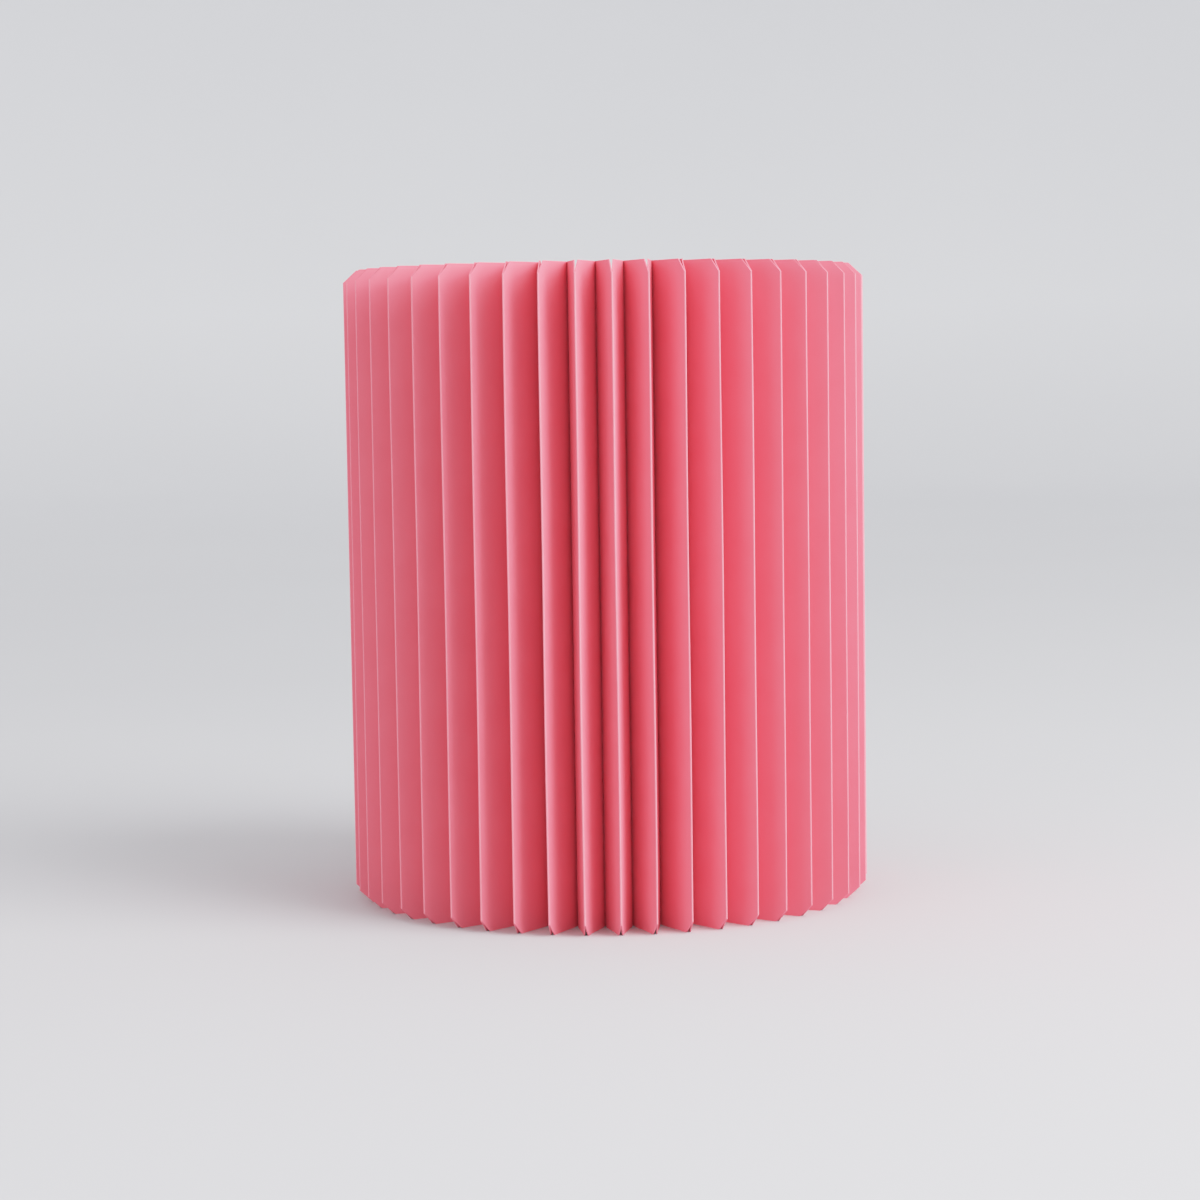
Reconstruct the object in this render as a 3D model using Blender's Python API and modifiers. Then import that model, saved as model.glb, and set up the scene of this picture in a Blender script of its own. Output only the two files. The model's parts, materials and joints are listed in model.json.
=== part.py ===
"""Accordion paper lantern: a standing ring of pleated card round a battery tealight.

Metres, +Z up. The ring stands on z = 0 with its axis on the Z axis, and its front faces -Y. The card is
creased into mountains and valleys. Each pleat is one mountain with the two panels beside it, and it turns
against its neighbours along the valley creases. The strip's two ends meet in a valley at the back, where a
flap folds round the crease and two pairs of thin magnets hold it shut.
"""
import math

import bmesh
import bpy
from mathutils import Vector

# Driving dimensions of the pleated ring
HEIGHT = 0.250
OUTER_RADIUS = 0.1033
INNER_RADIUS = 0.0794
PLEATS = 46
CARD = 0.0004
CORNER_ALONG_PANEL = 0.0052
CORNER_DOWN = 0.0048
CREASE_GAP = 0.0003

# The front pleat stands a little past the front, and pleats stand closer at front and back than at the sides
FRONT_PLEAT = 24
FRONT_TURN = math.radians(1.75)
CROWDING = 0.021

# Closure: the flap at the strip's end, and the magnets that hold it
FLAP_WIDTH = 0.0185
MAGNET_RADIUS = 0.004
MAGNET_THICKNESS = 0.001
MAGNET_FROM_CREASE = 0.0125
MAGNET_LEVELS = {"lower": 0.058, "upper": 0.192}

# Tealight
GAP = 0.0003
CUP_RADIUS = 0.01875
CUP_HEIGHT = 0.0150
WALL = 0.0010
FLOOR_LOW = 0.0020
FLOOR_THICKNESS = 0.0012
FLOOR_TOP = FLOOR_LOW + FLOOR_THICKNESS
HATCH_RADIUS = 0.0112
EAR_RADIUS = 0.0021
SCREW_OFFSET = 0.0146
SCREW_RADIUS = 0.0008
SCREW_HEAD = 0.0009
SCREW_EDGE = 0.0003
BOSS_RADIUS = 0.0018
BOSS_TOP = 0.0090
CELL_RADIUS = 0.0100
CELL_HEIGHT = 0.0032
CELL_RIM = 0.0004
CELL_LOW = FLOOR_TOP + GAP
CELL_TOP = CELL_LOW + CELL_HEIGHT
BOARD_RADIUS = 0.0110
BOARD_LOW = 0.0094
BOARD_THICKNESS = 0.0008
SPRING_WIRE_RADIUS = 0.00025
SPRING_LOW_RADIUS = 0.0042
SPRING_HIGH_RADIUS = 0.0030
SPRING_TURNS = 2.5
LED_RADIUS = 0.0025
LED_BODY = 0.0058
LED_FLANGE = 0.0010
LED_FLANGE_RADIUS = 0.0029
DECK_LOW = 0.0118
DECK_THICKNESS = 0.0014
DECK_RIM_RISE = 0.0008
DECK_COLLAR_RISE = 0.0004
FLAME_RADIUS = 0.0048
FLAME_HEIGHT = 0.0215
FLAME_LOW = DECK_LOW - 0.0010
FLAME_WALL = 0.0011
FLAME_HOLLOW = 0.0100
SWITCH_OFFSET = 0.0145
SWITCH_TRAVEL = 0.0030
SWITCH_WIDTH = 0.0024
SWITCH_LENGTH = 0.0034
SWITCH_PROUD = 0.0012
FLANGE_SIDE = 0.0008
FLANGE_END = 0.0020
FLANGE_THICKNESS = 0.0010
TURN_STEPS = 32

PARTS = "accordion_paper_lantern"
CUTTERS = "cutters"


def clear_scene():
    for obj in list(bpy.data.objects):
        bpy.data.objects.remove(obj, do_unlink=True)


def collection(name):
    made = bpy.data.collections.new(name)
    bpy.context.scene.collection.children.link(made)
    return made


def material(name, colour, roughness, metallic=0.0):
    made = bpy.data.materials.new(name)
    made.use_nodes = True
    shader = made.node_tree.nodes["Principled BSDF"]
    shader.inputs["Base Color"].default_value = (*colour, 1.0)
    shader.inputs["Roughness"].default_value = roughness
    shader.inputs["Metallic"].default_value = metallic
    return made


def add_object(name, bm, finish, origin=(0, 0, 0), smooth=False):
    """Turns a bmesh in world coordinates into an object with its origin at the given point."""
    bmesh.ops.recalc_face_normals(bm, faces=bm.faces[:])
    bmesh.ops.translate(bm, verts=bm.verts[:], vec=-Vector(origin))
    mesh = bpy.data.meshes.new(name)
    bm.to_mesh(mesh)
    bm.free()
    if smooth:
        mesh.shade_smooth()
        mesh.set_sharp_from_angle(angle=math.radians(35))
    obj = bpy.data.objects.new(name, mesh)
    obj.location = origin
    obj.data.materials.append(finish)
    bpy.data.collections[PARTS].objects.link(obj)
    return obj


def as_cutter(obj):
    """Moves an object to the cutters, out of the render."""
    bpy.data.collections[PARTS].objects.unlink(obj)
    bpy.data.collections[CUTTERS].objects.link(obj)
    obj.hide_render = True
    obj.display_type = "WIRE"
    return obj


def boolean(obj, other, operation):
    modifier = obj.modifiers.new(f"{operation.lower()}_{other.name}", "BOOLEAN")
    modifier.operation = operation
    modifier.object = other


# ---------------------------------------------------------------- pleated ring

def crease_angle(place):
    """Angle of a crease from the front, towards +X: whole places are mountains, halves are valleys."""
    even = FRONT_TURN + (place - FRONT_PLEAT) * math.tau / PLEATS
    return even - CROWDING * math.sin(2 * even)


def crease_point(place):
    radius = OUTER_RADIUS if float(place).is_integer() else INNER_RADIUS
    angle = crease_angle(place)
    return Vector((radius * math.sin(angle), -radius * math.cos(angle), 0))


def outward(angle):
    return Vector((math.sin(angle), -math.cos(angle), 0))


def sideways(angle):
    """Unit vector round the ring, in the direction of growing pleat numbers."""
    return Vector((math.cos(angle), math.sin(angle), 0))


def trim(bm, point, away):
    """Cuts with a plane, drops what lies past it and closes the cut."""
    everything = bm.verts[:] + bm.edges[:] + bm.faces[:]
    cut = bmesh.ops.bisect_plane(bm, geom=everything, plane_co=point, plane_no=away, clear_outer=True)
    rim = [item for item in cut["geom_cut"] if isinstance(item, bmesh.types.BMEdge)]
    bmesh.ops.edgeloop_fill(bm, edges=rim)


def folded_card(outline):
    """A standing sheet of card whose outer face follows the outline in plan, as a closed solid."""
    bm = bmesh.new()
    feet = [bm.verts.new(point) for point in outline]
    foot_edges = [bm.edges.new(pair) for pair in zip(feet, feet[1:])]
    risen = bmesh.ops.extrude_edge_only(bm, edges=foot_edges)["geom"]
    top = [item for item in risen if isinstance(item, bmesh.types.BMVert)]
    bmesh.ops.translate(bm, verts=top, vec=(0, 0, HEIGHT))
    bmesh.ops.recalc_face_normals(bm, faces=bm.faces[:])
    towards_axis = bm.faces[0].normal.dot(bm.faces[0].calc_center_median().xy.to_3d()) < 0
    if towards_axis:
        bmesh.ops.reverse_faces(bm, faces=bm.faces[:])
    bmesh.ops.solidify(bm, geom=bm.faces[:], thickness=CARD)
    return bm


def cut_mountain_corners(bm, number):
    """Cuts the corner off both panels at the mountain crease, at the top and at the foot."""
    angle = crease_angle(number)
    ridge = crease_point(number)
    panel = crease_point(number + 0.5) - ridge
    reach = -panel.normalized().dot(outward(angle)) * CORNER_ALONG_PANEL
    for level, up in ((HEIGHT, 1), (0, -1)):
        corner = ridge + Vector((0, 0, level - up * CORNER_DOWN))
        away = outward(angle) * CORNER_DOWN + Vector((0, 0, up * reach))
        trim(bm, corner, away.normalized())


def trim_at_valley(bm, place, side):
    """Ends the pleat just short of the valley crease, on its plane through the ring's axis."""
    angle = crease_angle(place)
    trim(bm, crease_point(place) - side * sideways(angle) * CREASE_GAP / 2, side * sideways(angle))


def flap_outline():
    """The last panel's end and the flap, which lies along the outer face of the first panel."""
    seam = crease_point(PLEATS + 0.5)
    last_panel = (crease_point(PLEATS) - seam).normalized()
    first_panel = (crease_point(1) - crease_point(0.5)).normalized()
    offset = CARD + CREASE_GAP
    fold = seam + last_panel * offset / math.sin(last_panel.angle(first_panel))
    return [fold, fold + first_panel * FLAP_WIDTH]


def hinge_place(number):
    """The valley crease that the pleat turns on: the one on the front pleat's side."""
    return number + 0.5 if number < FRONT_PLEAT else number - 0.5


def make_pleat(number, finish):
    ridge = crease_point(number)
    spare = 4 * CARD

    def past(place):
        end = crease_point(place)
        return end + (end - ridge).normalized() * spare

    is_last = number == PLEATS
    outline = [past(number - 0.5), ridge] + (flap_outline() if is_last else [past(number + 0.5)])
    bm = folded_card(outline)
    trim_at_valley(bm, number - 0.5, -1)
    if not is_last:
        trim_at_valley(bm, number + 0.5, 1)
    cut_mountain_corners(bm, number)
    origin = (0, 0, 0) if number == FRONT_PLEAT else crease_point(hinge_place(number))
    return add_object(f"pleat_{number:02d}", bm, finish, origin)


def make_magnet(name, centre, normal, finish):
    """A thin disc on a standing face, its axis along the face's normal."""
    bm = bmesh.new()
    turned = normal.to_track_quat("Z", "Y").to_matrix().to_4x4()
    turned.translation = centre
    bmesh.ops.create_cone(bm, cap_ends=True, segments=24, radius1=MAGNET_RADIUS,
                          radius2=MAGNET_RADIUS, depth=MAGNET_THICKNESS, matrix=turned)
    return add_object(name, bm, finish, centre, smooth=True)


def make_magnets(finish):
    """One magnet of each pair on the flap's free face, the other inside the first pleat's panel."""
    seam = crease_point(0.5)
    along = (crease_point(1) - seam).normalized()
    across = Vector((-along.y, along.x, 0))
    if across.dot(sideways(crease_angle(0.5))) < 0:
        across = -across
    half = MAGNET_THICKNESS / 2
    to_flap_magnet = -(CREASE_GAP + CARD + GAP + half)
    to_panel_magnet = CARD + GAP + half
    for level_name, level in MAGNET_LEVELS.items():
        middle = seam + along * MAGNET_FROM_CREASE + Vector((0, 0, level))
        make_magnet(f"flap_magnet_{level_name}", middle + across * to_flap_magnet, across, finish)
        make_magnet(f"panel_magnet_{level_name}", middle + across * to_panel_magnet, across, finish)


def parent_along_chain():
    """Each pleat hangs on its neighbour towards the front pleat, so that turning one carries the rest."""
    for number in range(1, PLEATS + 1):
        if number == FRONT_PLEAT:
            continue
        child = bpy.data.objects[f"pleat_{number:02d}"]
        keep_parented(child, f"pleat_{number + (1 if number < FRONT_PLEAT else -1):02d}")
    for level_name in MAGNET_LEVELS:
        keep_parented(bpy.data.objects[f"flap_magnet_{level_name}"], f"pleat_{PLEATS:02d}")
        keep_parented(bpy.data.objects[f"panel_magnet_{level_name}"], "pleat_01")


def keep_parented(child, parent_name):
    """Parents without moving: nothing here is turned, so the offset between origins is enough."""
    parent = bpy.data.objects[parent_name]
    child.parent = parent
    child.matrix_parent_inverse.identity()
    child.location = child.location - world_origin(parent)


def world_origin(obj):
    return obj.location + (world_origin(obj.parent) if obj.parent else Vector())


# -------------------------------------------------------------------- tealight

def turned(name, profile, finish):
    """A solid turned about Z. The profile is (radius, z) points, clockwise when it closes on itself."""
    mesh = bpy.data.meshes.new(name)
    points = [(radius, 0, z) for radius, z in profile]
    hollow = min(radius for radius, z in profile) > 0
    count = len(points)
    edges = [(i, (i + 1) % count) for i in range(count if hollow else count - 1)]
    mesh.from_pydata(points, edges, [])
    obj = bpy.data.objects.new(name, mesh)
    bpy.data.collections[PARTS].objects.link(obj)
    screw = obj.modifiers.new("turn", "SCREW")
    screw.steps = screw.render_steps = TURN_STEPS
    screw.use_merge_vertices = True
    screw.merge_threshold = 0.00001
    obj.data.materials.append(finish)
    return obj


def cylinder(name, radius, low, high, finish, x=0.0, segments=24):
    bm = bmesh.new()
    bmesh.ops.create_cone(bm, cap_ends=True, segments=segments, radius1=radius, radius2=radius,
                          depth=high - low)
    bmesh.ops.translate(bm, verts=bm.verts[:], vec=(x, 0, (low + high) / 2))
    return add_object(name, bm, finish, (x, 0, low), smooth=True)


def box(name, size, centre, finish):
    bm = bmesh.new()
    bmesh.ops.create_cube(bm, size=1)
    bmesh.ops.scale(bm, verts=bm.verts[:], vec=size)
    bmesh.ops.translate(bm, verts=bm.verts[:], vec=centre)
    return add_object(name, bm, finish, centre)


def make_cup(finish):
    inner = CUP_RADIUS - WALL
    hatch_hole = HATCH_RADIUS + GAP
    cup = turned("tealight_cup", [
        (CUP_RADIUS, CUP_HEIGHT), (CUP_RADIUS, 0), (inner, 0), (inner, FLOOR_LOW),
        (hatch_hole, FLOOR_LOW), (hatch_hole, FLOOR_TOP), (inner, FLOOR_TOP), (inner, CUP_HEIGHT),
    ], finish)
    boss_low = FLOOR_TOP + GAP
    boss_middle = (boss_low + BOSS_TOP) / 2
    rib_length = inner - SCREW_OFFSET + WALL / 2
    boss = as_cutter(cylinder("boss", BOSS_RADIUS, boss_low, BOSS_TOP, finish, x=SCREW_OFFSET))
    rib = as_cutter(box("boss_rib", (rib_length, WALL, BOSS_TOP - boss_low),
                        (SCREW_OFFSET + rib_length / 2, 0, boss_middle), finish))
    boolean(cup, boss, "UNION")
    boolean(cup, rib, "UNION")
    below = FLOOR_LOW - WALL
    ear_hole = as_cutter(cylinder("ear_hole", EAR_RADIUS + GAP, below, boss_low, finish, x=SCREW_OFFSET))
    neck_hole = as_cutter(box("neck_hole", (SCREW_OFFSET, 2 * (EAR_RADIUS + GAP), boss_low - below),
                              (SCREW_OFFSET / 2, 0, (boss_low + below) / 2), finish))
    screw_hole = as_cutter(cylinder("screw_hole", SCREW_RADIUS + GAP / 2, 0, BOSS_TOP + WALL, finish,
                                    x=SCREW_OFFSET))
    slot = as_cutter(box("switch_slot", (SWITCH_WIDTH + 2 * GAP, SWITCH_LENGTH + SWITCH_TRAVEL + 2 * GAP,
                                         2 * FLOOR_TOP), (-SWITCH_OFFSET, 0, FLOOR_TOP), finish))
    for hole in (ear_hole, neck_hole, screw_hole, slot):
        boolean(cup, hole, "DIFFERENCE")
    return cup


def make_hatch(finish):
    """The battery hatch: a disc with an ear that the screw holds."""
    hatch = cylinder("battery_hatch", HATCH_RADIUS, FLOOR_LOW, FLOOR_TOP, finish, segments=TURN_STEPS)
    ear = as_cutter(cylinder("ear", EAR_RADIUS, FLOOR_LOW, FLOOR_TOP, finish, x=SCREW_OFFSET))
    neck = as_cutter(box("neck", (SCREW_OFFSET, 2 * EAR_RADIUS, FLOOR_THICKNESS),
                         (SCREW_OFFSET / 2, 0, FLOOR_LOW + FLOOR_THICKNESS / 2), finish))
    hole = as_cutter(cylinder("hatch_screw_hole", SCREW_RADIUS + GAP, 0, BOSS_TOP, finish, x=SCREW_OFFSET))
    boolean(hatch, ear, "UNION")
    boolean(hatch, neck, "UNION")
    boolean(hatch, hole, "DIFFERENCE")
    return hatch


def make_screw(finish):
    """A pan-head screw, turned about its own axis, head down."""
    tip = BOSS_TOP - WALL
    head_top = FLOOR_LOW - GAP
    head_low = head_top - SCREW_HEAD
    head = 2 * SCREW_RADIUS
    screw = turned("hatch_screw", [
        (0, tip), (SCREW_RADIUS, tip - SCREW_EDGE), (SCREW_RADIUS, head_top), (head, head_top),
        (head, head_low + SCREW_EDGE), (head - SCREW_EDGE, head_low), (0, head_low),
    ], finish)
    screw.location.x = SCREW_OFFSET
    drive = as_cutter(box("screw_drive", (2 * head, SCREW_RADIUS / 2, 2 * SCREW_EDGE),
                          (SCREW_OFFSET, 0, head_low), finish))
    boolean(screw, drive, "DIFFERENCE")
    return screw


def make_switch(finish):
    """The slide switch: a knob through the slot in the floor, with a flange that rides on the floor."""
    start = -SWITCH_TRAVEL / 2
    flange_middle = FLOOR_TOP + GAP + FLANGE_THICKNESS / 2
    knob_low = FLOOR_LOW - SWITCH_PROUD
    switch = box("slide_switch", (SWITCH_WIDTH, SWITCH_LENGTH, flange_middle - knob_low),
                 (-SWITCH_OFFSET, start, (flange_middle + knob_low) / 2), finish)
    flange_size = (SWITCH_WIDTH + 2 * FLANGE_SIDE, SWITCH_LENGTH + 2 * FLANGE_END, FLANGE_THICKNESS)
    flange = as_cutter(box("switch_flange", flange_size, (-SWITCH_OFFSET, start, flange_middle), finish))
    boolean(switch, flange, "UNION")
    return switch


def make_cell(finish):
    """A coin cell: the can below, the smaller pole on top."""
    pole = CELL_RADIUS - 3 * CELL_RIM
    return turned("coin_cell", [
        (0, CELL_TOP), (pole, CELL_TOP), (pole, CELL_TOP - CELL_RIM),
        (CELL_RADIUS - CELL_RIM, CELL_TOP - CELL_RIM), (CELL_RADIUS, CELL_TOP - 2 * CELL_RIM),
        (CELL_RADIUS, CELL_LOW + CELL_RIM), (CELL_RADIUS - CELL_RIM, CELL_LOW), (0, CELL_LOW),
    ], finish)


def make_contact_spring(finish):
    """A coil between the cell's pole and the board, as one wire."""
    low = CELL_TOP + GAP + SPRING_WIRE_RADIUS
    high = BOARD_LOW - GAP - SPRING_WIRE_RADIUS
    points_per_turn = 14
    count = int(SPRING_TURNS * points_per_turn) + 1
    curve = bpy.data.curves.new("contact_spring", "CURVE")
    curve.dimensions = "3D"
    curve.bevel_depth = SPRING_WIRE_RADIUS
    curve.bevel_resolution = 2
    curve.use_fill_caps = True
    spline = curve.splines.new("POLY")
    spline.points.add(count - 1)
    for i, point in enumerate(spline.points):
        share = i / (count - 1)
        angle = share * SPRING_TURNS * math.tau
        radius = SPRING_LOW_RADIUS + (SPRING_HIGH_RADIUS - SPRING_LOW_RADIUS) * share
        point.co = (radius * math.cos(angle), radius * math.sin(angle), low + (high - low) * share, 1)
    curve.materials.append(finish)
    obj = bpy.data.objects.new("contact_spring", curve)
    bpy.data.collections[PARTS].objects.link(obj)
    return obj


def make_board(finish):
    return cylinder("led_board", BOARD_RADIUS, BOARD_LOW, BOARD_LOW + BOARD_THICKNESS, finish,
                    segments=TURN_STEPS)


def make_led(finish):
    """A 5 mm lamp: flange, straight body and a round dome."""
    low = BOARD_LOW + BOARD_THICKNESS + GAP
    shoulder = low + LED_BODY
    slopes = [math.radians(angle) for angle in range(70, 0, -20)]
    dome = [(LED_RADIUS * math.cos(a), shoulder + LED_RADIUS * math.sin(a)) for a in slopes]
    return turned("led", [
        (0, shoulder + LED_RADIUS), *dome, (LED_RADIUS, low + LED_FLANGE),
        (LED_FLANGE_RADIUS, low + LED_FLANGE), (LED_FLANGE_RADIUS, low), (0, low),
    ], finish)


def flame_radius(share):
    """Outer radius of the flame at a share of its height: full near its foot, drawn out to the tip."""
    return FLAME_RADIUS * math.sin(math.pi * (0.32 + 0.68 * share ** 0.85))


def make_flame(finish):
    """The flame-shaped diffuser, hollow from below over the lamp."""
    steps = 9
    shares = [i / steps for i in range(steps - 1, -1, -1)]
    outside = [(flame_radius(share), FLAME_LOW + FLAME_HEIGHT * share) for share in shares]
    inside_radius = flame_radius(0) - FLAME_WALL
    roof = FLAME_LOW + FLAME_HOLLOW
    return turned("flame", [
        (0, FLAME_LOW + FLAME_HEIGHT), *outside, (inside_radius, FLAME_LOW),
        (inside_radius, roof - 2 * FLAME_WALL), (inside_radius - FLAME_WALL, roof), (0, roof),
    ], finish)


def make_deck(finish):
    """The top that closes the cup round the flame, dished like a pool of melted wax."""
    inner = FLAME_RADIUS + GAP
    outer = CUP_RADIUS - WALL - GAP
    steps = 8
    dish = []
    for share in (i / steps for i in range(steps + 1)):
        rise = DECK_COLLAR_RISE * (1 - share) ** 4 + DECK_RIM_RISE * share ** 6
        dish.append((inner + (outer - inner) * share, DECK_LOW + DECK_THICKNESS + rise))
    return turned("tealight_deck", [(outer, DECK_LOW), (inner, DECK_LOW), *dish], finish)


def make_tealight():
    white = material("white_plastic", (0.86, 0.85, 0.82), 0.38)
    wax = material("wax_plastic", (0.90, 0.86, 0.76), 0.45)
    glow = material("flame_plastic", (0.95, 0.62, 0.28), 0.40)
    clear = material("led_epoxy", (0.92, 0.88, 0.70), 0.12)
    steel = material("cell_steel", (0.72, 0.72, 0.73), 0.25, metallic=1.0)
    board = material("board_green", (0.05, 0.22, 0.10), 0.45)
    dark = material("switch_plastic", (0.10, 0.10, 0.11), 0.45)
    pieces = [make_cup(white), make_deck(wax), make_flame(glow), make_led(clear), make_board(board),
              make_contact_spring(steel), make_cell(steel), make_hatch(white), make_screw(steel),
              make_switch(dark)]
    cup = pieces[0]
    for piece in pieces[1:]:
        piece.parent = cup


def main():
    clear_scene()
    collection(PARTS)
    collection(CUTTERS)
    card = material("pink_card", (0.80, 0.16, 0.22), 0.85)
    nickel = material("nickel", (0.66, 0.64, 0.60), 0.28, metallic=1.0)
    for number in range(1, PLEATS + 1):
        make_pleat(number, card)
    make_magnets(nickel)
    parent_along_chain()
    make_tealight()


main()
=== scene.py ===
"""Looks of the accordion paper lantern: curved card pleats, creases with a pale line that is partly wear and
partly painted highlight, a tealight, a studio sweep.

Every pleat of card is one piece that rides on its own CAD body and ends exactly on the valley creases it
turns about, so the ring stays closed while it unrolls.
"""
import json
import math

import bmesh
import bpy
import numpy as np
from mathutils import Euler, Matrix, Vector

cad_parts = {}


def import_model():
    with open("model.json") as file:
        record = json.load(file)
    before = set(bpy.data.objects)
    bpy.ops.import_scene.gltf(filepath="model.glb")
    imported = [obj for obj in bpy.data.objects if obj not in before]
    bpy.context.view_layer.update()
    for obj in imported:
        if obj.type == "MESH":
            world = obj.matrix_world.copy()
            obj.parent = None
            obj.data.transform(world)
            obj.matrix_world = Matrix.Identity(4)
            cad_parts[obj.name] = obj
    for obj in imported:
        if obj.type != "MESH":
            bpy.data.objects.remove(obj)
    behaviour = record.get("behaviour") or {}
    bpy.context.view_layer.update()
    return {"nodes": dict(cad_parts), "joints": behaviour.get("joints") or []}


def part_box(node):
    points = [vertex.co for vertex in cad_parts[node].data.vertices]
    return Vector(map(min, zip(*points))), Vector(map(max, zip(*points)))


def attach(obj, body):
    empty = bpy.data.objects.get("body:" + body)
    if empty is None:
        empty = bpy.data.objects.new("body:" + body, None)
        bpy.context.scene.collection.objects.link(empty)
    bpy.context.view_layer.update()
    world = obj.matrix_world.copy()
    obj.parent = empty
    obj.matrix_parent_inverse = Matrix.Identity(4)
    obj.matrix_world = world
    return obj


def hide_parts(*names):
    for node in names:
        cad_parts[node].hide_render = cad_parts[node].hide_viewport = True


# Card
CARD = 0.0004
FOLD_RADIUS = 0.00014       # of the card's middle layer, round a mountain crease
VALLEY_PRESS = 0.45         # share of the panel's depth that the valley crease keeps pressed
CORNER_ALONG_PANEL = 0.0052
CORNER_DOWN = 0.0048
PANEL_STATIONS = 20
FOLD_STATIONS = 7
END_STATIONS = 4
FLAP_STATIONS = 7
LEVELS = 26
FLAP_WIDTH = 0.0185
FLAP_GAP = 0.0003
FLAP_BEND = 0.00024
SEED = 7

# How much the pleats differ from each other
LEAN = 0.00012              # the most that a mountain crease leans to one side
RIPPLE = 0.00008            # of a mountain crease to both sides, along its height
END_SCATTER = (0.93, 0.97)  # radius of the card's round ends, as a share of half its thickness

# How tightly the panels are pressed together near the mountain crease: 0 is loose and 1 is tight
PINCH = 0.50
PINCH_MORE_AT_ENDS = 0.42   # added at the top and the foot
PINCH_END_ZONE = 0.012      # length over which that fades
PINCH_RIPPLE = 0.06         # added and taken away along the height

# Tealight and magnets
TURN_STEPS = 96
EDGE = 0.00025              # rounding of the moulded rims
FINE_EDGE = 0.00012
GAP = 0.0003                # clearance round the flame, the hatch and the hatch's ear
CUP_WALL = 0.0010
EAR_RADIUS = 0.0021         # of the hatch's ear, which the screw holds
BOSS_RADIUS = 0.0018
SCREW_HOLE_RADIUS = 0.00095
SWITCH_SLOT = (0.0030, 0.0070)
DISH_STEPS = 28
DISH_LEVEL = 0.64           # share of the deck's height that the dish lies above
POOL_DEPTH = 0.00009
FLAME_STEPS = 40
FLAME_WALL = 0.0011
FLAME_HOLLOW = 0.0100
FLUTES = 3
FLUTE_DEPTH = 0.035         # share of the flame's radius
FLAME_LEAN = 0.0009
MAGNET_RADIUS = 0.0040
MAGNET_HALF = 0.0005
PAD_RADIUS = 0.86 * MAGNET_RADIUS
PAD_REACH = {"flap": 0.00022, "panel": 0.0005}  # how far each glue pad stands out, to its card

# Camera, as a distance and height from the lantern's foot on its axis
CAMERA_DISTANCE = 1.1474
CAMERA_HEIGHT = 0.21405
CAMERA_SIDE = -0.00303
CAMERA_PITCH = math.radians(4.833)
CAMERA_ROLL = math.radians(0.867)
CAMERA_LENS = 85.78

# Soft studio light: (name, azimuth from the front towards +X, elevation, (width, height), watts)
LAMPS = (
    ("window", 63, 18, (1.40, 1.50), 49),
    ("high", 54, 46, (1.20, 1.20), 30),
    ("fill", -40, 14, (1.20, 1.20), 11),
)
LAMP_DISTANCE = 2.0
SKY_LOW, SKY_HIGH = 0.49, 1.8       # strength at the horizon and overhead
AIM_HEIGHT = 0.12
SHOULDER = ((0.2, 0.2), (0.4, 0.376), (0.7, 0.566), (1.0, 0.695), (1.6, 0.84), (2.4, 0.918), (4.0, 0.955))


# ------------------------------------------------------------------ node helpers

def new_material(name):
    made = bpy.data.materials.new(name)
    made.use_nodes = True
    tree = made.node_tree
    tree.nodes.clear()
    output = tree.nodes.new("ShaderNodeOutputMaterial")
    shader = tree.nodes.new("ShaderNodeBsdfPrincipled")
    tree.links.new(shader.outputs["BSDF"], output.inputs["Surface"])
    return made, tree, shader


def add_node(tree, kind, **settings):
    node = tree.nodes.new(kind)
    for name, value in settings.items():
        setattr(node, name, value)
    return node


def noise(tree, coordinates, scale, detail=2.0, roughness=0.5):
    node = add_node(tree, "ShaderNodeTexNoise")
    node.inputs["Scale"].default_value = scale
    node.inputs["Detail"].default_value = detail
    node.inputs["Roughness"].default_value = roughness
    tree.links.new(coordinates, node.inputs["Vector"])
    return node.outputs["Fac"]


def ranged(tree, value, low, high, to_low=0.0, to_high=1.0):
    node = add_node(tree, "ShaderNodeMapRange")
    tree.links.new(value, node.inputs["Value"])
    for name, number in (("From Min", low), ("From Max", high), ("To Min", to_low), ("To Max", to_high)):
        node.inputs[name].default_value = number
    return node.outputs["Result"]


def maths(tree, operation, first, second=None):
    node = add_node(tree, "ShaderNodeMath", operation=operation)
    for socket, value in zip(node.inputs, (first, second)):
        if isinstance(value, (int, float)):
            socket.default_value = value
        elif value is not None:
            tree.links.new(value, socket)
    return node.outputs["Value"]


def mixed(tree, share, first, second):
    """Colour mix: each of first and second is a colour tuple or a socket."""
    node = add_node(tree, "ShaderNodeMix", data_type="RGBA")
    tree.links.new(share, node.inputs["Factor"])
    for socket, value in ((node.inputs[6], first), (node.inputs[7], second)):
        if isinstance(value, tuple):
            socket.default_value = (*value, 1.0)
        else:
            tree.links.new(value, socket)
    return node.outputs[2]


def bump(tree, shader, height, distance, strength=1.0):
    node = add_node(tree, "ShaderNodeBump")
    node.inputs["Strength"].default_value = strength
    node.inputs["Distance"].default_value = distance
    tree.links.new(height, node.inputs["Height"])
    tree.links.new(node.outputs["Normal"], shader.inputs["Normal"])


# ---------------------------------------------------------------------- materials

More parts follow.
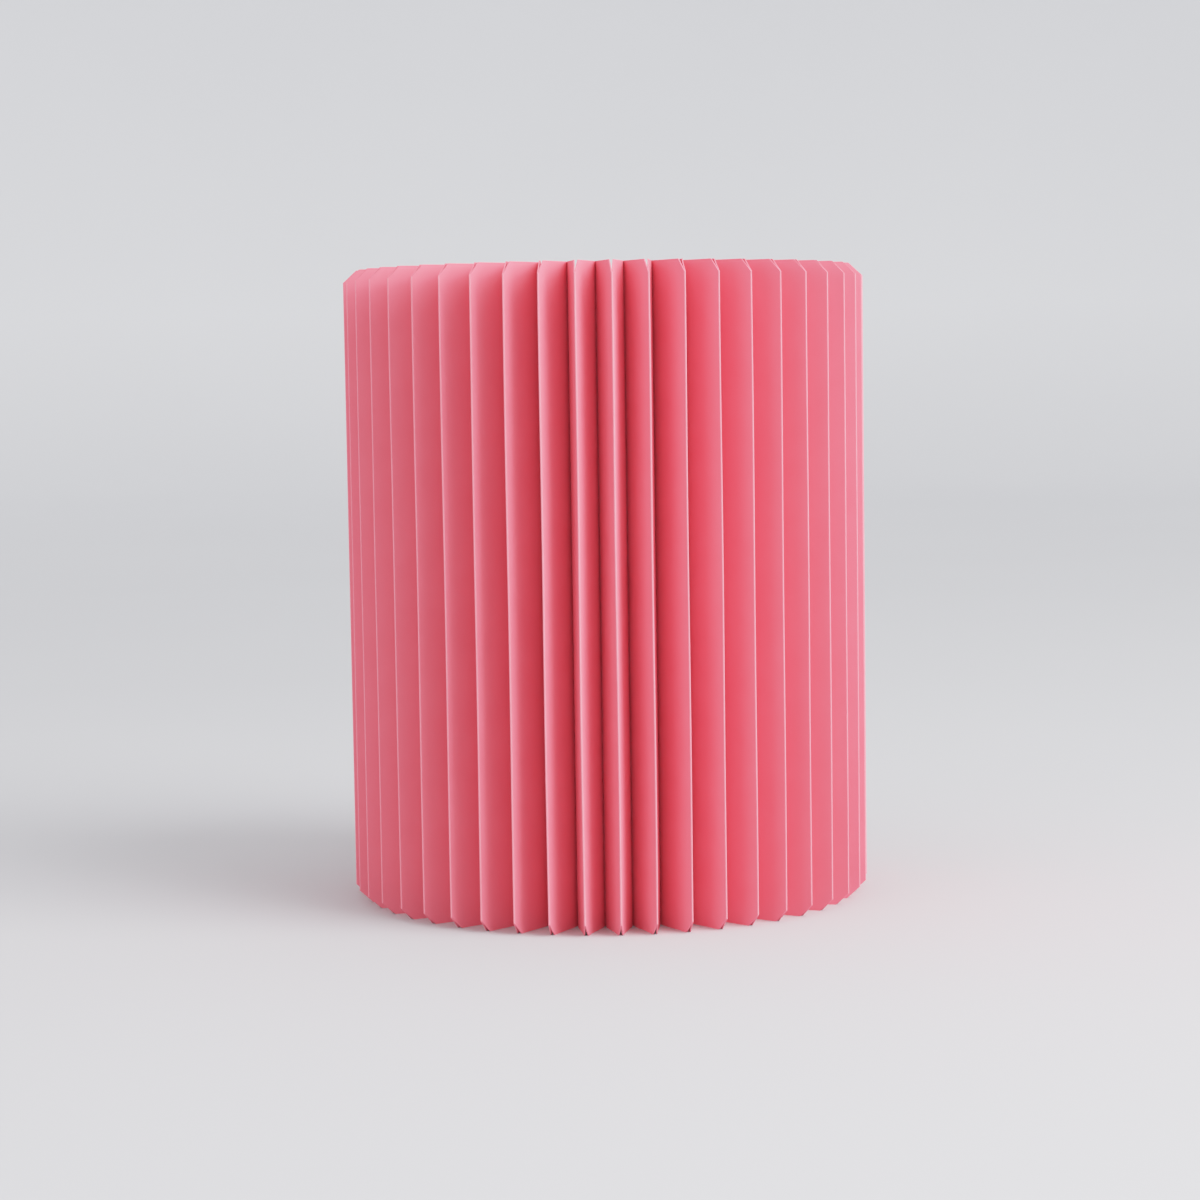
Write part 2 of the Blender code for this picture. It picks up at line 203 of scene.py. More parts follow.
def card_material():
    """Dyed heavy card: fine fibres, faint mottling, and a pale line along each mountain crease, partly the
    card's wear and partly a painted highlight.
    """
    made, tree, shader = new_material("pink_card")
    place = add_node(tree, "ShaderNodeTexCoord").outputs["Object"]
    along = add_node(tree, "ShaderNodeSeparateXYZ")
    tree.links.new(add_node(tree, "ShaderNodeUVMap", uv_map="card").outputs["UV"], along.inputs[0])
    from_crease = along.outputs["X"]

    dye = (0.915, 0.190, 0.252)
    deep = (0.90, 0.179, 0.240)
    mottle = ranged(tree, noise(tree, place, 60, 3), 0.35, 0.65)
    fibre = ranged(tree, noise(tree, place, 2600, 2, 0.7), 0.3, 0.7)
    colour = mixed(tree, mottle, deep, dye)
    colour = mixed(tree, maths(tree, "MULTIPLY", fibre, 0.05), colour, (0.90, 0.34, 0.40))

    # Pale line along each mountain crease: partly wear of the card at the fold, partly a painted highlight
    # where the crease catches the light.
    ragged = ranged(tree, noise(tree, place, 900, 2), 0.3, 0.7, 0.00016, 0.00034)
    edge = maths(tree, "SUBTRACT", ragged, from_crease)
    crease_wear_and_highlight = ranged(tree, edge, -0.00012, 0.00012)
    colour = mixed(tree, maths(tree, "MULTIPLY", crease_wear_and_highlight, 0.12), colour, (0.93, 0.62, 0.66))
    tree.links.new(colour, shader.inputs["Base Color"])
    tree.links.new(ranged(tree, fibre, 0, 1, 0.78, 0.92), shader.inputs["Roughness"])
    shader.inputs["Specular IOR Level"].default_value = 0.28
    bump(tree, shader, fibre, 0.00003, 0.5)
    return made


def plastic_material(name, colour, roughness, grain=0.00002, depth=0.0):
    """Moulded plastic with faint clouding. depth is how much light goes through it under the skin."""
    made, tree, shader = new_material(name)
    place = add_node(tree, "ShaderNodeTexCoord").outputs["Object"]
    cloud = ranged(tree, noise(tree, place, 120, 3), 0.3, 0.7)
    tree.links.new(mixed(tree, cloud, tuple(c * 0.94 for c in colour), colour), shader.inputs["Base Color"])
    fine = noise(tree, place, 2200, 2)
    tree.links.new(ranged(tree, fine, 0.3, 0.7, roughness - 0.06, roughness + 0.06),
                   shader.inputs["Roughness"])
    shader.inputs["Subsurface Weight"].default_value = depth
    shader.inputs["Subsurface Radius"].default_value = (0.003, 0.0015, 0.0008)
    bump(tree, shader, fine, grain, 0.4)
    return made


def metal_material(name, colour, roughness):
    made, tree, shader = new_material(name)
    place = add_node(tree, "ShaderNodeTexCoord").outputs["Object"]
    scratches = noise(tree, place, 700, 4, 0.7)
    tree.links.new(mixed(tree, ranged(tree, scratches, 0.3, 0.7), tuple(c * 0.85 for c in colour), colour),
                   shader.inputs["Base Color"])
    tree.links.new(ranged(tree, scratches, 0.3, 0.7, roughness - 0.05, roughness + 0.1),
                   shader.inputs["Roughness"])
    shader.inputs["Metallic"].default_value = 1.0
    bump(tree, shader, scratches, 0.00001, 0.3)
    return made


def sweep_material():
    """Matt pale board, with the faintest unevenness. One white board with painted shade and light: the floor
    is painted greyer, turning lighter with distance from the lantern and up the wall.
    """
    made, tree, shader = new_material("white_sweep")
    place = add_node(tree, "ShaderNodeTexCoord").outputs["Object"]
    upward = add_node(tree, "ShaderNodeSeparateXYZ")
    tree.links.new(place, upward.inputs[0])
    cloud = ranged(tree, noise(tree, place, 1.3, 3), 0.3, 0.7)
    # Painted shade and light: the floor colour is painted greyer and the wall colour lighter, and the
    # distance and height masks below blend towards the lighter one, standing in for how the light falls.
    floor = mixed(tree, cloud, (0.50, 0.503, 0.53), (0.515, 0.518, 0.545))
    wall = mixed(tree, cloud, (0.80, 0.81, 0.845), (0.82, 0.83, 0.865))
    distance = add_node(tree, "ShaderNodeVectorMath", operation="LENGTH")
    tree.links.new(place, distance.inputs[0])
    far = ranged(tree, distance.outputs["Value"], 0.8, 3.4, 0.0, 0.5)
    high = ranged(tree, upward.outputs["Z"], 0.0, 0.3, 0.0, 0.5)
    colour = mixed(tree, maths(tree, "ADD", far, high), floor, wall)
    tree.links.new(colour, shader.inputs["Base Color"])
    shader.inputs["Roughness"].default_value = 0.9
    shader.inputs["Specular IOR Level"].default_value = 0.2
    return made


def make_finishes():
    """Procedural finishes by CAD node. The magnets, which aren't listed, are nickel."""
    white = plastic_material("white_plastic", (0.84, 0.83, 0.80), 0.38)
    return {
        "tealight_cup": white,
        "battery_hatch": white,
        "tealight_deck": plastic_material("wax_plastic", (0.90, 0.86, 0.76), 0.42, depth=0.3),
        "flame": plastic_material("flame_plastic", (0.94, 0.47, 0.12), 0.30, depth=0.3),
        "led": plastic_material("led_epoxy", (0.92, 0.88, 0.70), 0.15),
        "led_board": plastic_material("board_green", (0.05, 0.22, 0.10), 0.45),
        "slide_switch": plastic_material("switch_plastic", (0.10, 0.10, 0.11), 0.45),
        "contact_spring": metal_material("spring_steel", (0.62, 0.62, 0.63), 0.3),
        "coin_cell": metal_material("cell_steel", (0.72, 0.72, 0.73), 0.25),
        "hatch_screw": metal_material("screw_steel", (0.60, 0.60, 0.61), 0.3),
    }


def finish_cad_nodes(frame, finishes, nickel):
    for name, node in frame["nodes"].items():
        if name.startswith("pleat_"):
            continue
        node.data.materials.clear()
        node.data.materials.append(finishes.get(name, nickel))


# --------------------------------------------------------------------- card pleats

def plan(vector):
    return np.array([vector[0], vector[1]])


def unit(vector):
    return vector / np.linalg.norm(vector)


def ridge_of(node):
    """The mountain crease's place in plan: the CAD pleat's points farthest from the axis."""
    points = np.array([v.co[:] for v in node.data.vertices])
    reach = np.hypot(points[:, 0], points[:, 1])
    return points[reach > reach.max() - 2e-5][:, :2].mean(axis=0)


def valleys_of(frame):
    """The hinged valley creases in plan, by number: valley k lies between pleats k and k + 1."""
    places = {}
    for joint in frame["joints"]:
        if joint["name"].startswith("valley_hinge_"):
            places[int(joint["name"][-2:])] = plan(joint["pos_m"])
    return places


def panel_curve(share, pinch):
    """How far a panel has spread sideways at a share of its depth: 0 at the mountain, 1 at the valley,
    where the crease is pressed so tight that the two panels leave it almost side by side."""
    loose = 0.7 * share + 0.3 * share ** 2
    tight = share ** 2.1
    opening = (1 - pinch) * loose + pinch * tight
    from_valley = 1 - share
    return 1 - (1 - opening) * from_valley * (1 + VALLEY_PRESS) / (from_valley + VALLEY_PRESS)


def panel_rows(valley, tip, inward, across, pinch, straight):
    """Middle line of one panel in plan, from the valley crease to where the mountain crease's bend starts.
    Each row is (point, distance from the mountain crease along the card, room for the card's inner face).
    By the valley the line keeps half the card's thickness clear, so that neighbours' faces meet there."""
    depth = (valley - tip) @ inward
    width = (valley - tip) @ across
    side = math.copysign(1.0, width)
    corner = CORNER_ALONG_PANEL / depth
    shares = 0.5 - 0.5 * np.cos(np.linspace(math.pi, 0, PANEL_STATIONS + 1))[:-1]
    shares = np.sort(np.append(shares, [corner, corner * 1.04]))[::-1]
    rows = []
    for share in shares:
        spread = share if straight else panel_curve(share, pinch)
        clear = share * (1 - math.exp(-2 * (1 - share) * depth / CARD)) * CARD / 2
        out = side * (FOLD_RADIUS + (abs(width) - FOLD_RADIUS) * spread - clear)
        along = FOLD_RADIUS + (depth - FOLD_RADIUS) * share
        point = tip + inward * along + across * out
        rows.append((point, along + FOLD_RADIUS * (math.pi / 2 - 1), abs(out)))
    return rows


def round_bend(corner, coming, going, radius, steps=6):
    """Points round a fillet where a line that comes along one direction leaves along another."""
    turn = math.acos(np.clip(coming @ going, -1, 1))
    cut = radius * math.tan(turn / 2)
    centre = corner + unit(going - coming) * radius / math.cos(turn / 2)
    start = corner - coming * cut - centre
    normal = unit(start)
    return [centre + radius * (normal * math.cos(a) + coming * math.sin(a))
            for a in np.linspace(0, turn, steps + 1)]


def card_section(left, ridge, right, pinch, straight, flap_ridge=None):
    """Middle line of the card in plan from the left valley round the mountain crease to the right one,
    in panel_rows' rows. pinch 0 leaves the panels nearly flat, and 1 presses them together near the
    mountain. straight says which of the two panels are flat. With a flap_ridge, the card turns back short
    of the right valley and lies along the panel that rises from there to that mountain crease."""
    inward = unit((left + right) / 2 - ridge)
    across = np.array([-inward[1], inward[0]])
    if (left - ridge) @ across > 0:
        across = -across
    tip = ridge + inward * CARD / 2
    centre = tip + inward * FOLD_RADIUS
    fold = []
    for angle in np.linspace(-math.pi / 2, math.pi / 2, FOLD_STATIONS):
        point = centre + FOLD_RADIUS * (-inward * math.cos(angle) + across * math.sin(angle))
        fold.append((point, abs(angle) * FOLD_RADIUS, FOLD_RADIUS))
    rows = panel_rows(left, tip, inward, across, pinch, straight[0]) + fold
    far_panel = panel_rows(right, tip, inward, across, pinch, straight[1])[::-1]
    if flap_ridge is None:
        return rows + far_panel
    coming = unit(right - far_panel[0][0])
    going = unit(flap_ridge - right)
    layers = CARD + FLAP_GAP
    corner = right - coming * layers / math.sin(math.acos(-coming @ going))
    bend = round_bend(corner, coming, going, FLAP_BEND)
    stop = np.linalg.norm(right - bend[0]) + CARD
    rows += [row for row in far_panel if np.linalg.norm(right - row[0]) > stop]
    panel = np.linalg.norm(flap_ridge - right)
    rows += [(point, panel, CARD) for point in bend]
    for share in np.linspace(0, 1, FLAP_STATIONS)[1:]:
        point = bend[-1] + going * FLAP_WIDTH * share
        rows.append((point, panel - np.linalg.norm(point - right), CARD))
    return rows


def offset_loop(section, end_radius):
    """Closed outline of the card in plan round its middle line, with round ends on the valley creases.
    Each row is (point, distance from the mountain crease). Where the mountain crease leaves the inner face
    less room than half the card's thickness, the card is squeezed thinner."""
    points = np.array([point for point, _, _ in section])
    reach = np.array([along for _, along, _ in section])
    room = np.array([space for _, _, space in section])
    tangents = np.gradient(points, axis=0)
    tangents /= np.linalg.norm(tangents, axis=1)[:, None]
    normals = np.column_stack([tangents[:, 1], -tangents[:, 0]])
    half = np.full(len(points), CARD / 2)
    half[0] = half[-1] = end_radius
    pressed = np.minimum(half, 0.95 * room)
    outer = list(zip(points + normals * half[:, None], reach))
    inner = list(zip(points - normals * pressed[:, None], reach))

    def cap(index, start, turn):
        rows = []
        for step in range(1, END_STATIONS):
            angle = math.pi * step / END_STATIONS
            direction = start * math.cos(angle) + turn * math.sin(angle)
            rows.append((points[index] + direction * end_radius, reach[index]))
        return rows

    return (outer + cap(-1, normals[-1], tangents[-1]) + inner[::-1]
            + cap(0, -normals[0], -tangents[0]))


def card_mesh(name, creases, height, rng, straight=(False, False), flap_ridge=None):
    """The pleat's mesh: its plan outline lofted up the height, with the mountain corners clipped. creases
    are the left valley, the mountain and the right valley in plan. The UV map holds the distance from the
    mountain crease and the height, in metres."""
    left, ridge, right = creases
    phase = rng.uniform(0, math.tau, 4)
    lean = rng.uniform(-1, 1) * LEAN
    end_radius = CARD / 2 * rng.uniform(*END_SCATTER)
    across = unit(right - left)
    levels = 0.5 - 0.5 * np.cos(np.linspace(0, math.pi, LEVELS))
    levels = 0.65 * levels + 0.35 * np.linspace(0, 1, LEVELS)
    rings = []
    for level in levels:
        z = level * height
        from_end = min(z, height - z)
        pinch = PINCH + PINCH_MORE_AT_ENDS * math.exp(-(from_end / PINCH_END_ZONE) ** 2)
        pinch += PINCH_RIPPLE * math.sin(2 * math.pi * level + phase[2])
        sway = (lean * math.cos(math.pi * level + phase[0])
                + RIPPLE * math.sin(3 * math.pi * level + phase[1]))
        section = card_section(left, ridge + across * sway, right, pinch, straight, flap_ridge)
        rings.append(offset_loop(section, end_radius))
    count = len(rings[0])
    bm = bmesh.new()
    uv_layer = bm.loops.layers.uv.new("card")
    grid = []
    for level, ring in zip(levels, rings):
        row = []
        for point, reach in ring:
            clip = CORNER_DOWN * max(0.0, 1 - reach / CORNER_ALONG_PANEL)
            z = clip + (height - 2 * clip) * level
            row.append((bm.verts.new((point[0], point[1], z)), reach, z))
        grid.append(row)

    def face(corners):
        made = bm.faces.new([corner[0] for corner in corners])
        for loop, corner in zip(made.loops, corners):
            loop[uv_layer].uv = (corner[1], corner[2])
        return made

    for lower, upper in zip(grid, grid[1:]):
        for i in range(count):
            j = (i + 1) % count
            face((lower[i], lower[j], upper[j], upper[i])).smooth = True
    for row, flip in ((grid[0], True), (grid[-1], False)):
        span = (count - 2 * (END_STATIONS - 1)) // 2
        outer = row[:span]
        inner = row[span + END_STATIONS - 1:2 * span + END_STATIONS - 1][::-1]
        for i in range(span - 1):
            quad = (outer[i], outer[i + 1], inner[i + 1], inner[i])
            face(quad[::-1] if not flip else quad)
        right_cap = row[span - 1:span + END_STATIONS]
        left_cap = row[2 * span + END_STATIONS - 2:] + row[:1]
        for rim in (right_cap, left_cap):
            face(rim if flip else rim[::-1])
    bmesh.ops.recalc_face_normals(bm, faces=bm.faces[:])
    mesh = bpy.data.meshes.new(name)
    bm.to_mesh(mesh)
    bm.free()
    mesh.set_sharp_from_angle(angle=math.radians(50))
    return mesh


def make_pleats(frame, material):
    names = sorted(name for name in frame["nodes"] if name.startswith("pleat_"))
    count = len(names)
    valleys = valleys_of(frame)
    ridges = {int(name[-2:]): ridge_of(frame["nodes"][name]) for name in names}
    radius = np.linalg.norm(valleys[1])
    seam = unit(unit(ridges[1]) + unit(ridges[count])) * radius
    valleys[0] = valleys[count] = seam
    low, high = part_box(names[0])
    height = high[2] - low[2]
    rng = np.random.default_rng(SEED)
    for number in range(1, count + 1):
        node = f"pleat_{number:02d}"
        creases = (valleys[number - 1], ridges[number], valleys[number])
        mesh = card_mesh(f"card_{number:02d}", creases, height, rng, (number == 1, number == count),
                         ridges[1] if number == count else None)
        piece = bpy.data.objects.new(f"card_{number:02d}", mesh)
        bpy.context.scene.collection.objects.link(piece)
        mesh.materials.append(material)
        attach(piece, node)
        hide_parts(node)


# ---------------------------------------------------------------- tealight and magnets

def rounded(profile, radii, steps=4):
    """A closed profile of (radius, z) corners with each corner rounded by its own radius, 0 for sharp."""
    corners = [np.array(corner) for corner in profile]
    made = []
    for i, (corner, radius) in enumerate(zip(corners, radii)):
        if radius == 0:
            made.append(corner)
            continue
        coming = unit(corner - corners[i - 1])
        going = unit(corners[(i + 1) % len(corners)] - corner)
        made += round_bend(corner, coming, going, radius, steps)
    return made


def plain_turn(radius, z, angle):
    return radius * math.cos(angle), radius * math.sin(angle), z


def lathe(profile, shape=plain_turn):
    """A bmesh turned about Z from (radius, z) rows. The profile closes on itself, or runs from axis to
    axis. shape(radius, z, angle) gives each point's (x, y, z)."""
    bm = bmesh.new()
    on_axis = [radius < 1e-7 for radius, _ in profile]
    rings = []
    for (radius, z), single in zip(profile, on_axis):
        angles = [math.tau * step / TURN_STEPS for step in range(1 if single else TURN_STEPS)]
        rings.append([bm.verts.new(shape(radius, z, angle)) for angle in angles])
    closed = not any(on_axis)
    pairs = list(zip(rings, rings[1:])) + ([(rings[-1], rings[0])] if closed else [])
    for first, second in pairs:
        for step in range(TURN_STEPS):
            after = (step + 1) % TURN_STEPS
            if len(first) == 1:
                bm.faces.new((first[0], second[after], second[step]))
            elif len(second) == 1:
                bm.faces.new((first[step], first[after], second[0]))
            else:
                bm.faces.new((first[step], first[after], second[after], second[step]))
    bmesh.ops.recalc_face_normals(bm, faces=bm.faces[:])
    return bm


def mesh_from(name, bm, angle=35):
    """Turns a bmesh into a mesh that is smooth but for its sharp edges."""
    for face in bm.faces:
        face.smooth = True
    mesh = bpy.data.meshes.new(name)
    bm.to_mesh(mesh)
    bm.free()
    mesh.set_sharp_from_angle(angle=math.radians(angle))
    return mesh


def add_piece(mesh, name, body, node, material):
    """Puts a mesh in the scene as the piece that stands for a CAD node and rides on a body."""
    piece = bpy.data.objects.new(name, mesh)
    bpy.context.scene.collection.objects.link(piece)
    mesh.materials.append(material)
    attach(piece, body)
    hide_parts(node)


def baked(mesh, modifiers):
    """The mesh with its modifiers applied. Each is (kind, settings)."""
    scratch = bpy.data.objects.new("scratch", mesh)
    bpy.context.scene.collection.objects.link(scratch)
    for kind, settings in modifiers:
        modifier = scratch.modifiers.new(kind.lower(), kind)
        for name, value in settings.items():
            setattr(modifier, name, value)
    graph = bpy.context.evaluated_depsgraph_get()
    made = bpy.data.meshes.new_from_object(scratch.evaluated_get(graph))
    bpy.data.objects.remove(scratch)
    return made


def softened(node, width):
    """A copy of a CAD node's mesh with its sharp edges rounded."""
    bm = bmesh.new()
    bm.from_mesh(node.data)
    bmesh.ops.remove_doubles(bm, verts=bm.verts[:], dist=1e-6)
    bmesh.ops.dissolve_limit(bm, angle_limit=math.radians(1), verts=bm.verts[:], edges=bm.edges[:])
    mesh = mesh_from(node.name + "_sharp", bm)
    bevel = {"width": width, "segments": 3, "limit_method": "ANGLE", "angle_limit": math.radians(40)}
    made = baked(mesh, [("BEVEL", bevel)])
    made.materials.clear()
    made.set_sharp_from_angle(angle=math.radians(35))
    return made


def extent(name):
    """Outer radius, foot and top of a CAD node that is turned about the lantern's axis."""
    low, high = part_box(name)
    return (high[1] - low[1]) / 2, low[2], high[2]


def deck_mesh(flame_radius):
    """The wax-like top: a shallow pool, a little uneven, that rises to a rim and to a collar at the flame."""
    outer, low, high = extent("tealight_deck")
    inner = flame_radius + GAP
    middle = low + DISH_LEVEL * (high - low)
    rows = [(outer - EDGE, low), (inner, low)]
    for share in np.linspace(0, 1, DISH_STEPS + 1):
        rise = (high - middle) * (0.5 * (1 - share) ** 4 + share ** 6)
        rows.append((inner + (outer - EDGE - inner) * share, middle + rise))
    rows += [(outer, high - EDGE), (outer, low + EDGE)]

    def shape(radius, z, angle):
        share = (radius - inner) / (outer - inner)
        pool = POOL_DEPTH * math.sin(math.pi * share) if z >= middle else 0.0
        uneven = pool * (math.sin(2 * angle + 1.0) + 0.6 * math.sin(5 * angle + 4 * share))
        return plain_turn(radius, z - abs(pool) + uneven, angle)

    return mesh_from("wax_deck", lathe(rows, shape))


def flame_fullness(share):
    """The flame's radius at a share of its height, against its widest, a fifth of the way up."""
    return math.sin(math.pi * (0.32 + 0.68 * share ** 0.85))


def flame_mesh():
    """A moulded flame: softly fluted, twisted a little, its tip leaning to one side, hollow from below."""
    radius, low, high = extent("flame")
    height = high - low
    bore = radius * flame_fullness(0) - FLAME_WALL
    roof = low + FLAME_HOLLOW
    rows = [(0.0, high)]
    for share in np.linspace(1, 0, FLAME_STEPS + 1)[1:]:
        rows.append((radius * flame_fullness(share), low + height * share))
    rows += [(bore, low), (bore, roof - 2 * FLAME_WALL), (bore - FLAME_WALL, roof), (0.0, roof)]

    def shape(reach, z, angle):
        share = max(0.0, (z - low - 0.15 * height) / (0.85 * height))
        is_inside = reach <= bore and z <= roof
        flute = 0.0 if is_inside else FLUTE_DEPTH * min(1.0, 4 * share)
        reach *= 1 - flute * (0.5 + 0.5 * math.cos(FLUTES * (angle - 1.4 * share)))
        lean = FLAME_LEAN * share ** 2.5
        x, y, z = plain_turn(reach, z, angle)
        return x + lean, y - 0.4 * lean, z

    return mesh_from("flame_bulb", lathe(rows, shape), 60)


def solid(kind, size, middle):
    """A box of that size, or an upright rod of (radius, height), as a scratch object for a boolean."""
    bm = bmesh.new()
    if kind == "box":
        bmesh.ops.create_cube(bm, size=1)
        bmesh.ops.scale(bm, verts=bm.verts[:], vec=size)
    else:
        radius, height = size
        bmesh.ops.create_cone(bm, cap_ends=True, segments=TURN_STEPS // 2, radius1=radius, radius2=radius,
                              depth=height)
    bmesh.ops.translate(bm, verts=bm.verts[:], vec=middle)
    mesh = bpy.data.meshes.new(kind)
    bm.to_mesh(mesh)
    bm.free()
    made = bpy.data.objects.new(kind, mesh)
    bpy.context.scene.collection.objects.link(made)
    return made


def cup_mesh():
    """The cup, turned with rounded rims. Its floor is cut out for the hatch and its ear and for the
    switch, and a ribbed boss takes the screw."""
    outer, low, high = extent("tealight_cup")
    hatch_low, hatch_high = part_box("battery_hatch")
    screw_low, screw_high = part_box("hatch_screw")
    knob_low, knob_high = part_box("slide_switch")
    floor_low, floor_top = hatch_low[2], hatch_high[2]
    inner, hole = outer - CUP_WALL, GAP - hatch_low[0]
    screw_x = (screw_low[0] + screw_high[0]) / 2
    knob_x = (knob_low[0] + knob_high[0]) / 2
    rows = rounded([(outer, high), (outer, low), (inner, low), (inner, floor_low), (hole, floor_low),
                    (hole, floor_top), (inner, floor_top), (inner, high)],
                   (EDGE, EDGE, EDGE, EDGE, FINE_EDGE, FINE_EDGE, 2 * EDGE, EDGE))
    boss_top = screw_high[2] + GAP + CUP_WALL / 2
    boss_low = floor_top - GAP
    boss_height = boss_top - boss_low
    boss_middle = (boss_low + boss_top) / 2
    ear_hole = EAR_RADIUS + GAP
    cut = 2 * floor_top
    cut_middle = floor_top - cut / 2 + GAP
    rib = ((inner - screw_x, CUP_WALL, boss_height), ((inner + screw_x) / 2, 0, boss_middle))
    neck = ((screw_x, 2 * ear_hole, cut), (screw_x / 2, 0, cut_middle))
    tools = (
        ("UNION", solid("rod", (BOSS_RADIUS, boss_height), (screw_x, 0, boss_middle))),
        ("UNION", solid("box", *rib)),
        ("DIFFERENCE", solid("rod", (ear_hole, cut), (screw_x, 0, cut_middle))),
        ("DIFFERENCE", solid("box", *neck)),
        ("DIFFERENCE", solid("rod", (SCREW_HOLE_RADIUS, 2 * boss_top), (screw_x, 0, boss_top / 2))),
        ("DIFFERENCE", solid("box", (*SWITCH_SLOT, cut), (knob_x, 0, floor_top))),
    )
    modifiers = [("BOOLEAN", {"operation": operation, "object": tool}) for operation, tool in tools]
    made = baked(mesh_from("cup", lathe(rows)), modifiers)
    for _, tool in tools:
        bpy.data.objects.remove(tool)
    made.materials.clear()
    made.set_sharp_from_angle(angle=math.radians(35))
    return made


def magnet_mesh(name, middle, other_middle, pad_reach):
    """A plated disc with rounded rims on a glue pad that reaches the card. It faces its partner."""
    facing = Vector(other_middle - middle).normalized()
    turn = facing.to_track_quat("Z", "Y").to_matrix()
    rows = rounded([(0, -MAGNET_HALF), (MAGNET_RADIUS, -MAGNET_HALF), (MAGNET_RADIUS, MAGNET_HALF),
                    (PAD_RADIUS, MAGNET_HALF), (PAD_RADIUS, MAGNET_HALF + pad_reach),
                    (0, MAGNET_HALF + pad_reach)], (0, FINE_EDGE, FINE_EDGE, 0, 0, 0))

    def shape(radius, z, angle):
        return turn @ Vector(plain_turn(radius, z, angle)) + Vector(middle)

    return mesh_from(name, lathe(rows, shape))


def make_magnets(nickel):
    for level in ("lower", "upper"):
        nodes = {side: f"{side}_magnet_{level}" for side in ("flap", "panel")}
        middles = {side: np.mean(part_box(node), axis=0) for side, node in nodes.items()}
        for side, other, body in (("flap", "panel", "pleat_46"), ("panel", "flap", "pleat_01")):
            name = f"magnet_{side}_{level}"
            mesh = magnet_mesh(name, middles[side], middles[other], PAD_REACH[side])
            add_piece(mesh, name, body, nodes[side], nickel)


def make_tealight(frame, finishes):
    nodes = frame["nodes"]
    pieces = {
        "tealight_cup": (cup_mesh(), "cup", "tealight", "white_plastic"),
        "tealight_deck": (deck_mesh(extent("flame")[0]), "wax_deck", "tealight", "wax_plastic"),
        "flame": (flame_mesh(), "flame_bulb", "tealight", "flame_plastic"),
        "battery_hatch": (softened(nodes["battery_hatch"], FINE_EDGE), "hatch", "tealight", "white_plastic"),
        "hatch_screw": (softened(nodes["hatch_screw"], FINE_EDGE / 2), "screw", "tealight", "steel"),
        "slide_switch": (softened(nodes["slide_switch"], FINE_EDGE), "switch_knob", "switch",
                         "switch_plastic"),
    }
    for node, (mesh, name, body, slot) in pieces.items():
        add_piece(mesh, name, body, node, finishes[node])


# ------------------------------------------------------------------- stage and light

def make_sweep(material):
    """A round studio sweep: flat floor, a wide curve up, and a low wall, open to the sky."""
    floor_radius, curve, wall = 3.2, 1.2, 0.8
    profile = [(0.0, 0.0), (0.5, 0.0), (floor_radius, 0.0)]
    for step in range(1, 13):
        angle = math.pi / 2 * step / 12
        profile.append((floor_radius + curve * math.sin(angle), curve * (1 - math.cos(angle))))
    profile.append((floor_radius + curve, curve + wall))
    mesh = bpy.data.meshes.new("sweep")
    edges = [(i, i + 1) for i in range(len(profile) - 1)]
    mesh.from_pydata([(r, 0, z) for r, z in profile], edges, [])
    sweep = bpy.data.objects.new("sweep", mesh)
    bpy.context.scene.collection.objects.link(sweep)
    turn = sweep.modifiers.new("turn", "SCREW")
    turn.steps = turn.render_steps = 96
    turn.use_merge_vertices = True
    turn.merge_threshold = 0.0001
    turn.use_smooth_shade = True
    mesh.materials.append(material)


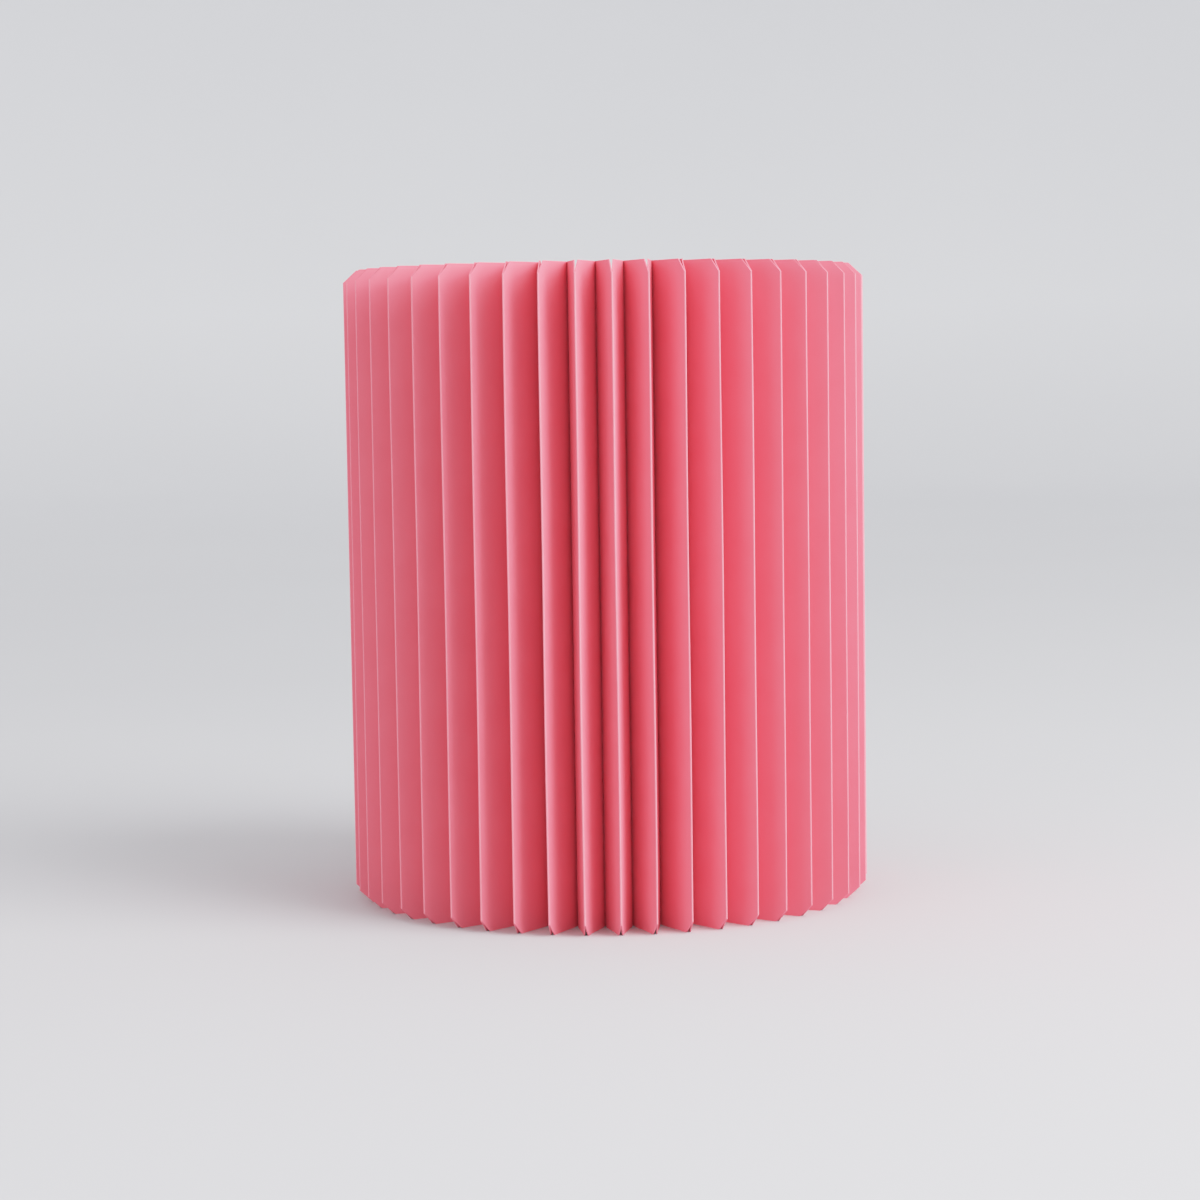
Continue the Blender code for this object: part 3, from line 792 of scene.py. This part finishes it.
def make_lamp(name, azimuth, elevation, size, watts):
    """A soft box that faces the lantern's middle, out of the camera's sight."""
    round_z, up = math.radians(azimuth), math.radians(elevation)
    direction = Vector((math.sin(round_z) * math.cos(up), -math.cos(round_z) * math.cos(up), math.sin(up)))
    lamp = bpy.data.lights.new(name, "AREA")
    lamp.shape = "RECTANGLE"
    lamp.size, lamp.size_y = size
    lamp.energy = watts
    box = bpy.data.objects.new(name, lamp)
    box.location = direction * LAMP_DISTANCE + Vector((0, 0, AIM_HEIGHT))
    box.rotation_euler = direction.to_track_quat("Z", "Y").to_euler()
    box.visible_camera = False
    bpy.context.scene.collection.objects.link(box)


def make_light():
    for lamp in LAMPS:
        make_lamp(*lamp)
    world = bpy.data.worlds.new("sky")
    world.use_nodes = True
    background = world.node_tree.nodes["Background"]
    background.inputs["Color"].default_value = (1.0, 1.0, 1.0, 1.0)
    upward = add_node(world.node_tree, "ShaderNodeSeparateXYZ")
    world.node_tree.links.new(add_node(world.node_tree, "ShaderNodeTexCoord").outputs["Generated"],
                              upward.inputs[0])
    rise = maths(world.node_tree, "POWER", maths(world.node_tree, "MAXIMUM", upward.outputs["Z"], 0.0), 2.0)
    strength = ranged(world.node_tree, rise, 0.0, 1.0, SKY_LOW, SKY_HIGH)
    world.node_tree.links.new(strength, background.inputs["Strength"])
    bpy.context.scene.world = world


def set_film():
    """A soft shoulder, as camera film has: highlights roll off instead of clipping."""
    view = bpy.context.scene.view_settings
    view.view_transform = "Standard"
    view.use_curve_mapping = True
    mapping = view.curve_mapping
    mapping.clip_max_x = SHOULDER[-1][0]
    curve = mapping.curves[3]
    curve.points[-1].location = SHOULDER[-1]
    for place in SHOULDER[:-1]:
        curve.points.new(*place)
    mapping.update()


def make_camera():
    camera = bpy.data.cameras.new("camera")
    camera.lens = CAMERA_LENS
    camera.sensor_width = 36.0
    obj = bpy.data.objects.new("camera", camera)
    tilt = Euler((math.pi / 2 - CAMERA_PITCH, 0, 0)).to_matrix()
    roll = Matrix.Rotation(-CAMERA_ROLL, 3, "Z")
    obj.rotation_euler = (tilt @ roll).to_euler()
    obj.location = (CAMERA_SIDE, -CAMERA_DISTANCE, CAMERA_HEIGHT)
    bpy.context.scene.collection.objects.link(obj)
    bpy.context.scene.camera = obj


def main():
    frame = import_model()
    make_camera()
    set_film()
    make_pleats(frame, card_material())
    finishes = make_finishes()
    nickel = metal_material("nickel", (0.70, 0.68, 0.64), 0.36)
    finish_cad_nodes(frame, finishes, nickel)
    make_magnets(nickel)
    make_tealight(frame, finishes)
    make_sweep(sweep_material())
    make_light()


main()
